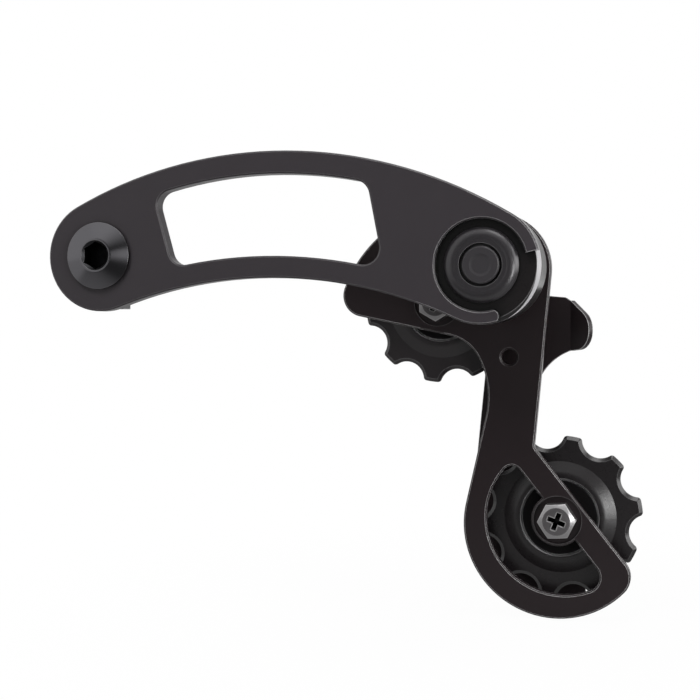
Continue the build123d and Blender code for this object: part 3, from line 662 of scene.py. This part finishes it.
def make_finish(
    name, colours, rough, metallic=0.0, specular=0.5, axle=None,
    grain=(0.0003, 0.00001), rings=(0.00025, 0.0), rough_spread=0.08,
    edge=(0.0003, 0.12), wear_and_highlight=1.0, wear_and_highlight_spots=(), corner=None, contact_shade=None,
    pocket=None, pocket_look=None, pocket_shade=None, rim=None,
):
    """Procedural finish, with lengths in metres.

    colours: dark tone, light tone, colour of worn and highlit edges and, where there is painted shade, the
    shade colour
    grain, rings: size and height; edge: width and softness; corner, contact, pocket_shade: reach of the
    painted shade
    wear_and_highlight_spots: place, radius and edge share; pocket: values for its group; pocket_look: colour
    and roughness
    """
    material = bpy.data.materials.new(name)
    material.use_nodes = True
    tree = material.node_tree
    shader = tree.nodes["Principled BSDF"]
    shader.inputs["Metallic"].default_value = metallic
    shader.inputs["Specular IOR Level"].default_value = specular
    coordinates = add(tree, "ShaderNodeTexCoord")
    mapping = add(tree, "ShaderNodeMapping")
    if axle is not None:
        mapping.inputs["Location"].default_value = -axle
    tree.links.new(coordinates.outputs["Object"], mapping.inputs["Vector"])
    vector = mapping.outputs["Vector"]
    grains = place_group(tree, grain_group, vector, Grain_Size=grain[0])
    ring = place_group(tree, ring_group, vector, Spacing=rings[0])
    wear_and_highlight_edges = place_group(tree, edge_group, vector, Width=edge[0], Softness=edge[1])
    share = wear_and_highlight
    for place, radius, spot_share in wear_and_highlight_spots:
        centred = add(tree, "ShaderNodeMapping")
        centred.inputs["Location"].default_value = -place
        tree.links.new(coordinates.outputs["Object"], centred.inputs["Vector"])
        spot = place_group(tree, spot_group, centred.outputs["Vector"], Radius=radius)
        share = math(tree, "ADD", math(tree, "MULTIPLY", spot.outputs["Spot"], spot_share - wear_and_highlight), share)
    tone = math(tree, "MULTIPLY", math(tree, "ADD", grains.outputs["Grain"], grains.outputs["Cloud"]), 0.5)
    base = blend_colour(tree, tone, colours[0], colours[1])
    # The pocket's own colour, used as painted shade in some finishes and as a painted highlight in others.
    if pocket is not None:
        turned = place_group(tree, pocket_group, vector, **pocket)
        pocket_colour, pocket_rough = pocket_look
        base = blend_colour(tree, turned.outputs["Pocket"], base, pocket_colour)
        change = math(tree, "MULTIPLY", turned.outputs["Pocket"], pocket_rough - rough)
        rough = math(tree, "ADD", rough, change)
    # Light edges: partly black worn thin, partly painted highlight.
    base = blend_colour(tree, math(tree, "MULTIPLY", wear_and_highlight_edges.outputs["Edge"], share), base, colours[2])
    # Painted shade: the colour darkens to the fourth one where ambient occlusion finds closed corners.
    for group, shade_reach in ((corner_shade_group, corner), (contact_shade_group, contact_shade)):
        if shade_reach is not None:
            dark = place_group(tree, group, vector, Reach=shade_reach)
            base = blend_colour(tree, dark.outputs["Corner Shade"], base, colours[3])
    # Painted shade in the closed parts of the pocket.
    if pocket_shade is not None:
        dark = place_group(tree, contact_shade_group, vector, Reach=pocket_shade)
        in_pocket = math(tree, "MULTIPLY", dark.outputs["Corner Shade"], turned.outputs["Pocket"])
        base = blend_colour(tree, in_pocket, base, colours[3])
    # Painted highlight: a light crescent on the pocket's rim.
    if rim is not None:
        base = blend_colour(tree, turned.outputs["Rim"], base, rim)
    tree.links.new(base, shader.inputs["Base Color"])
    spread = math(tree, "MULTIPLY", math(tree, "SUBTRACT", grains.outputs["Grain"], 0.5), 2 * rough_spread)
    tree.links.new(math(tree, "ADD", spread, rough), shader.inputs["Roughness"])
    grain_height = math(tree, "MULTIPLY", grains.outputs["Grain"], grain[1])
    height = math(tree, "ADD", grain_height, math(tree, "MULTIPLY", ring.outputs["Rings"], rings[1]))
    bump = add(tree, "ShaderNodeBump", Strength=1.0, Distance=1.0)
    tree.links.new(height, bump.inputs["Height"])
    tree.links.new(wear_and_highlight_edges.outputs["Normal"], bump.inputs["Normal"])
    tree.links.new(bump.outputs["Normal"], shader.inputs["Normal"])
    return material


def dress(piece, material):
    """Give a piece one material in place of any others."""
    piece.data.materials.clear()
    piece.data.materials.append(material)


print("finish builder ready")

# %% [markdown]
# ## Blasted arm and satin plates
#
# The arm and the spring's cup are blasted with fine beads before the black goes on, so they scatter
# light and look a shade greyer than the plates. The recess at the pivot was cut after that, so it is
# smoother; its darker colour and the black in its corners are painted shade, and the thin light
# crescent on its open side is a painted highlight. The plates have a smooth coat over sheet steel,
# with a warm tinge. Both show thin light lines along their chamfers, partly worn and partly painted
# highlight.

# %% Arm and plates
# Near-black colour of painted shade.
SHADE_BLACK = (0.003, 0.003, 0.003)
PLATE_HOLE = Vector((97.15, 16.3, -24.6)) * MM
blasted = make_finish(
    "blasted_black",
    [(0.025, 0.0215, 0.0245), (0.033, 0.029, 0.0325), (0.22, 0.215, 0.22), SHADE_BLACK],
    0.4,
    specular=0.3,
    axle=PIVOT,
    grain=(0.00022, 0.000006),
    edge=(0.00016, 0.15),
    wear_and_highlight=0.3,
    # The pivot's edges get the full painted edge light.
    wear_and_highlight_spots=[(PIVOT, 0.0168, 1.0)],
    # Painted shade in corners, at contacts and in the recess.
    corner=0.003,
    contact_shade=0.0009,
    pocket={"Radius": 0.01365, "Front": -0.0062},
    # The recess is smoother for real; its darker colour is painted shade.
    pocket_look=((0.008, 0.0068, 0.0072), 0.3),
    pocket_shade=0.005,
    # Painted highlight: the light crescent on the recess's open side.
    rim=(0.36, 0.355, 0.365),
)
coated = make_finish(
    "satin_coat",
    [(0.0106, 0.0072, 0.0081), (0.0139, 0.0098, 0.0109), (0.3, 0.295, 0.297), SHADE_BLACK],
    0.34,
    specular=0.27,
    grain=(0.0004, 0.000002),
    edge=(0.00016, 0.15),
    # Less painted edge light round the screw seats and the plate's hole.
    wear_and_highlight_spots=[(TENSION, 0.0075, 0.2), (GUIDE, 0.0075, 0.2), (PLATE_HOLE, 0.003, 0.2)],
)
for name in ("arm", "spring_cup"):
    dress(nodes[name], blasted)
for name in ("cage_outer_plate", "cage_inner_plate"):
    dress(nodes[name], coated)
print("dressed:", blasted.name, coated.name)

# %% [markdown]
# ## Turned, moulded and plated pieces
#
# The hanger bolt is blackened steel: a dark metal, so its cone mirrors the room and not a colour of
# its own; its socket is painted dark as shade, and painted shade darkens the corners of the bolt,
# the bush and the axle. The bush and the axle at the pivot are duller. The pulleys are moulded, with
# a paler ring at their bore that is a painted highlight, and matt caps inside whose near-black colour
# is painted shade; the upper pulley's colours are 1.6 times those of the moulding, the lower one's
# 0.85 times. The screws are zinc plated, bright on the chamfers of the head and duller on its top,
# where its darker colour is painted shade, and both screws are darkened as painted shade, the upper
# one most. The retaining clip takes the caps' near-black finish, which paints its gap dark as shade.
# What hides behind is plain or blued steel.

# %% Turned black pieces
FACE_SKIN = 0.00001
TURNED = [(0.018, 0.016, 0.018), (0.026, 0.024, 0.027), (0.1, 0.097, 0.1), SHADE_BLACK]
BLACKENED = [(0.115, 0.112, 0.12), (0.15, 0.147, 0.157), (0.22, 0.215, 0.22), SHADE_BLACK]
bolt_finish = make_finish(
    "turned_black_bolt",
    BLACKENED,
    0.18,
    metallic=1.0,
    axle=HANGER,
    grain=(0.0002, 0.0000005),
    rings=(0.0003, 0.000002),
    rough_spread=0.04,
    edge=(0.00012, 0.25),
    # Painted shade round the head, under its lip and in its socket.
    contact_shade=0.004,
    # The socket and its rim are painted dark as shade.
    pocket={"Radius": 0.0038, "Front": HEAD_Y * MM + FACE_SKIN, "Back": 0.0},
    pocket_look=((0.03, 0.03, 0.032), 0.42),
)
pivot_finish = make_finish(
    "turned_black_pivot",
    TURNED,
    0.3,
    metallic=0.3,
    specular=0.8,
    axle=PIVOT,
    grain=(0.0002, 0.000001),
    rings=(0.0003, 0.000003),
    edge=(0.00015, 0.25),
    # Painted shade in the corners.
    corner=0.002,
)
axle_finish = make_finish(
    "dull_black_axle",
    TURNED,
    0.46,
    specular=0.4,
    axle=PIVOT,
    grain=(0.0002, 0.000002),
    rings=(0.0003, 0.000002),
    edge=(0.00012, 0.3),
    # Painted shade in the corners.
    corner=0.002,
)
turned_pieces = [
    (bolt, bolt_finish),
    (nodes["pivot_bush"], pivot_finish),
    (nodes["pivot_axle"], axle_finish),
]
for piece, finish in turned_pieces:
    dress(piece, finish)
    print("dressed:", piece.name, "in", finish.name)

# %% Moulded pulleys
MOULDED = [(0.0054, 0.0041, 0.0047), (0.0083, 0.0065, 0.0073), (0.18, 0.177, 0.18)]
MATT = [(0.0025, 0.0022, 0.0024), (0.0042, 0.0038, 0.004), (0.012, 0.0115, 0.012)]
# Each pulley's colours are scaled: 1.6 times for the upper one, 0.85 times for the lower one.
PULLEYS = [("guide", GUIDE, 0.34, 1.6), ("tension", TENSION, 0.3, 0.85)]
for side, axle, rough, pulley_tone in PULLEYS:
    toned = [tuple(channel * pulley_tone for channel in colour) for colour in MOULDED]
    moulded = make_finish(
        f"moulded_black_{side}",
        toned,
        rough,
        axle=axle,
        grain=(0.0005, 0.000004),
        rings=(0.0009, 0.000004),
        edge=(0.0002, 0.24),
        wear_and_highlight=0.5,
        # A paler band at the bore, which is a painted highlight.
        pocket={"Radius": 0.00955},
        pocket_look=((0.22, 0.216, 0.22), 0.4),
    )
    dress(nodes[f"{side}_pulley"], moulded)
    # The caps' near-black colour is painted shade in the pulley's hub.
    matt = make_finish(f"matt_black_{side}", MATT, 0.6, specular=0.06, axle=axle, edge=(0.0002, 0.3))
    for piece in ("cap_outer", "cap_inner"):
        dress(nodes[f"{side}_{piece}"], matt)
    print("dressed:", moulded.name, matt.name)

# %% Zinc screws and plain steel
# The fourth colour is the painted shade in corners.
ZINC = [(0.36, 0.35, 0.355), (0.46, 0.45, 0.455), (0.6, 0.59, 0.59), (0.01, 0.01, 0.01)]
# Darker top of the head: painted shade.
ZINC_DISC = (0.19, 0.18, 0.185)
DISC_SKIN = 0.00003
# Painted shade on each screw's colours, the upper one darkest.
ZINC_SHADE = (0.55, 0.76)
for screw, axle, side, zinc_shade in zip(screws, (GUIDE, TENSION), ("guide", "tension"), ZINC_SHADE):
    disc_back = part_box(f"{side}_screw")[0].y - axle.y + DISC_SKIN
    *shaded_zinc, disc = [tuple(channel * zinc_shade for channel in colour) for colour in (*ZINC, ZINC_DISC)]
    zinc = make_finish(
        f"zinc_{side}",
        shaded_zinc,
        0.32,
        metallic=0.9,
        axle=axle,
        grain=(0.0003, 0.000004),
        rings=(0.00025, 0.000006),
        edge=(0.0003, 0.14),
        corner=0.002,
        pocket={"Radius": 0.0033, "Back": disc_back},
        pocket_look=(disc, 0.38),
    )
    dress(screw, zinc)
STEEL = [(0.3, 0.3, 0.31), (0.42, 0.42, 0.43), (0.6, 0.6, 0.61)]
steel = make_finish("plain_steel", STEEL, 0.36, metallic=1.0, grain=(0.0003, 0.000003))
dress(spring, steel)
for name in ("hanger_circlip", "stop_pin", "guide_bush", "tension_bush"):
    dress(nodes[name], steel)
BLUED = [(0.012, 0.012, 0.013), (0.02, 0.02, 0.022), (0.14, 0.14, 0.145)]
blued = make_finish("blued_steel", BLUED, 0.36, grain=(0.0003, 0.000003))
dress(nodes["stop_washer"], blued)
# The clip takes the near-black cap finish, which also paints the gap round the axle dark as shade.
dress(nodes["retaining_clip"], matt)
undressed = [name for name, node in nodes.items() if not node.data.materials]
print("dressed the screws and steel; nodes without a finish:", undressed)

# %% [markdown]
# ## Floor, light and background
#
# The reference stands in plain white. A white background should come from white surroundings and
# not from stronger lamps, so the world and the floor show white to the camera, and light the object
# at a plain level. Black things show their shape by what they mirror. A white room on all sides
# would wash them out, so only reflections see a studio with a white sweep behind, pale walls at the
# left and the right, a pale ceiling, and dark between them, which is what draws the dark wedge on
# the bolt's cone. The floor that reflections see is dark in front as well, or the flat sides of the
# lower pulley would turn grey.

# %% Studio helpers


def ramp(tree, value, start, end, low, high):
    """Goes from low to high as a value goes from start to end, and stays level outside them."""
    node = add(tree, "ShaderNodeMapRange", From_Min=start, From_Max=end, To_Min=low, To_Max=high)
    tree.links.new(value, node.inputs["Value"])
    return node.outputs["Result"]


def mix_shaders(tree, share, a, b):
    """Shader that goes from a to b as the share goes from 0 to 1."""
    mix = add(tree, "ShaderNodeMixShader")
    for socket, value in zip(mix.inputs, (share, a, b)):
        tree.links.new(value, socket)
    return mix.outputs[0]


def ray_kinds(tree):
    """Whether a ray comes from the camera, and whether a reflection or a clear thing sent it."""
    path = add(tree, "ShaderNodeLightPath")
    mirrored = math(tree, "MAXIMUM", path.outputs["Is Glossy Ray"], path.outputs["Is Transmission Ray"])
    return path.outputs["Is Camera Ray"], mirrored


print("studio helpers ready")

# %% Floor
FLOOR_GAP = 0.0004
FLOOR_SIZE = 6.0
WHITE = (1, 1, 1, 1)
PAPER = (0.5, 0.5, 0.5, 1)
# What reflections see of the floor, as axis, start, end and the glow at each: far in front, near in front,
# behind, and at the left.
FLOOR_GLOW = [
    ("Y", -0.45, -0.9, 0.0, 0.4),
    ("Y", -0.19, -0.11, 0.085, 0.48),
    ("Y", 0.0, 0.25, 0.0, 1.0),
    ("X", -0.2, -0.32, 0.0, 0.7),
]
# How white the camera sees the floor: distance from below the lower pulley, and the share at each.
FLOOR_FADE = (0.03, 0.16, 0.975, 1.0)
floor_z = cad_box[0][2] - FLOOR_GAP
bpy.ops.object.select_all(action="DESELECT")
bpy.ops.mesh.primitive_plane_add(size=FLOOR_SIZE, location=(TENSION.x, TENSION.y, floor_z))
floor = bpy.context.object
floor.name = "floor"
floor_look = bpy.data.materials.new("pale_floor")
floor_look.use_nodes = True
tree = floor_look.node_tree
tree.nodes.clear()
output = add(tree, "ShaderNodeOutputMaterial")
paper = add(tree, "ShaderNodeBsdfDiffuse", Color=PAPER)
white = add(tree, "ShaderNodeEmission", Color=WHITE, Strength=1.0)
mirror = add(tree, "ShaderNodeEmission", Color=WHITE)
from_camera, mirrored = ray_kinds(tree)
spot = add(tree, "ShaderNodeTexCoord")
split = add(tree, "ShaderNodeSeparateXYZ")
tree.links.new(spot.outputs["Object"], split.inputs[0])
glow = 0.0
for axis_name, *limits in FLOOR_GLOW:
    glow = math(tree, "MAXIMUM", ramp(tree, split.outputs[axis_name], *limits), glow)
tree.links.new(glow, mirror.inputs["Strength"])
away = add(tree, "ShaderNodeVectorMath", operation="LENGTH")
tree.links.new(spot.outputs["Object"], away.inputs[0])
fade = ramp(tree, away.outputs["Value"], *FLOOR_FADE)
seen = mix_shaders(tree, math(tree, "MULTIPLY", from_camera, fade), paper.outputs[0], white.outputs[0])
look = mix_shaders(tree, mirrored, seen, mirror.outputs[0])
tree.links.new(look, output.inputs["Surface"])
dress(floor, floor_look)
print("floor at", round(floor_z / MM, 2), "mm")

# %% World
SOFT_LIGHT = 0.15
DARK_ROOM = 0.085
DARK_SCREEN = 0.2
world = bpy.data.worlds.new("white_studio")
bpy.context.scene.world = world
world.use_nodes = True
tree = world.node_tree
tree.nodes.clear()
output = add(tree, "ShaderNodeOutputWorld")
soft = add(tree, "ShaderNodeBackground", Color=WHITE, Strength=SOFT_LIGHT)
white = add(tree, "ShaderNodeBackground", Color=WHITE, Strength=1.0)
mirror = add(tree, "ShaderNodeBackground", Color=WHITE)
from_camera, mirrored = ray_kinds(tree)
direction = add(tree, "ShaderNodeTexCoord")
split = add(tree, "ShaderNodeSeparateXYZ")
tree.links.new(direction.outputs["Generated"], split.inputs[0])


def wall(axis_name, dark, bright, level=1.0):
    """Brightness that rises from 0 to level as a direction's coordinate goes from dark to bright."""
    return ramp(tree, split.outputs[axis_name], dark, bright, 0.0, level)


screen = math(tree, "MAXIMUM", wall("X", 0.12, 0.04), DARK_SCREEN)
backdrop = math(tree, "MULTIPLY", wall("Y", -0.35, 0.15), screen)
left_wall = wall("X", -0.34, -0.42, 0.9)
ceiling = wall("Z", 0.3, 0.65)
right_wall = math(tree, "MULTIPLY", wall("X", 0.18, 0.3), wall("Z", 0.24, 0.2))
shine = DARK_ROOM
for part in (backdrop, left_wall, ceiling, right_wall):
    shine = math(tree, "MAXIMUM", part, shine)
tree.links.new(shine, mirror.inputs["Strength"])
lit = mix_shaders(tree, mirrored, soft.outputs[0], mirror.outputs[0])
look = mix_shaders(tree, from_camera, lit, white.outputs[0])
tree.links.new(look, output.inputs["Surface"])
print("world:", world.name)

# %% [markdown]
# ## Lamps
#
# A lamp at the upper left in front gives the faces their tone and the recess its shadow. It is
# hidden from reflections, because as a small bright square it would show on the cone. The others
# are there for the edges: one above for the chamfers that face up, one far right for those that
# face right, a small one near the lower pulley for the shine on its ring, and a faint one behind
# for the walls seen at a grazing angle.

# %% Lamps


def soft_lamp(name, place, size, power):
    """Rectangular area lamp that faces the middle of the object, with its power in watts."""
    bpy.ops.object.select_all(action="DESELECT")
    aim = (AIM - Vector(place)).to_track_quat("-Z", "Y").to_euler()
    bpy.ops.object.light_add(type="AREA", location=place, rotation=aim)
    lamp = bpy.context.object
    lamp.name = name
    lamp.data.shape = "RECTANGLE"
    lamp.data.size, lamp.data.size_y = size
    lamp.data.energy = power
    lamp.visible_camera = False
    return lamp


lamps = [
    soft_lamp("key_lamp", (-0.12, -0.46, 0.6), (0.3, 0.3), 4.4),
    soft_lamp("top_lamp", (0.2, 0.03, 0.6), (0.9, 0.3), 3.0),
    soft_lamp("right_lamp", (0.75, -0.14, 0.1), (0.5, 0.7), 4.5),
    soft_lamp("pulley_lamp", (0.28, -0.19, -0.095), (0.08, 0.2), 0.6),
    soft_lamp("back_lamp", (0.28, 0.5, 0.04), (0.3, 0.4), 0.08),
]
lamps[0].visible_glossy = False
print("lamps:", [(lamp.name, lamp.data.energy) for lamp in lamps])
